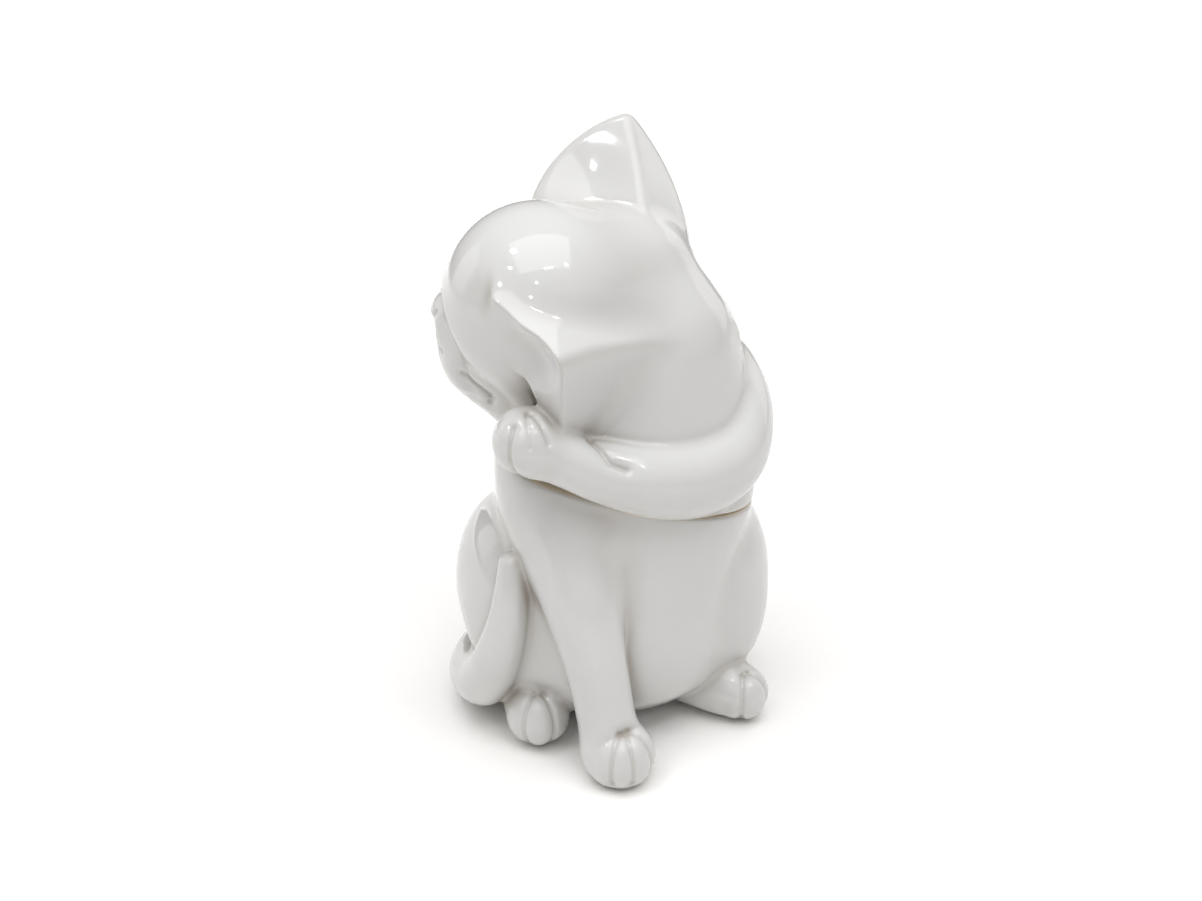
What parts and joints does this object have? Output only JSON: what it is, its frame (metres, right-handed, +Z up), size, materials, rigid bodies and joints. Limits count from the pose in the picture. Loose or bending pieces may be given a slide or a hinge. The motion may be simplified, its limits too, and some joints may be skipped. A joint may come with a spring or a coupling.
{
  "type": "lidded cat jar",
  "caption": "Glazed ceramic jar shaped as a sitting cat resting its head on a raised foreleg; the head and foreleg lift off as the lid.",
  "frame": {"origin": "centre of the footprint on the surface it stands on", "axes": "+Z up; the cat's chest and standing foreleg face -Y; +X is the cat's own left side"},
  "size_m": [0.1613, 0.1493, 0.2875],
  "materials": {
    "glaze": "glossy white glaze over white earthenware",
    "bisque": "matt unglazed earthenware, ground flat",
    "silicone": "satin translucent silicone"
  },
  "bodies": {
    "jar": {"jar_body": "glaze", "foot_ring": "bisque", "right_foreleg": "glaze", "right_hind_foot": "glaze", "left_hind_foot": "glaze", "tail": "glaze"},
    "lid": {"lid_head": "glaze", "left_foreleg": "glaze", "right_ear": "glaze", "left_ear": "glaze", "lid_collar": "bisque", "seal_ring": "silicone"}
  },
  "joints": [
    {"name": "lid_lift", "type": "slide", "parent": "jar", "child": "lid", "axis": [0.2756, 0, 0.9613], "range_m": [0, 0.12]}
  ]
}
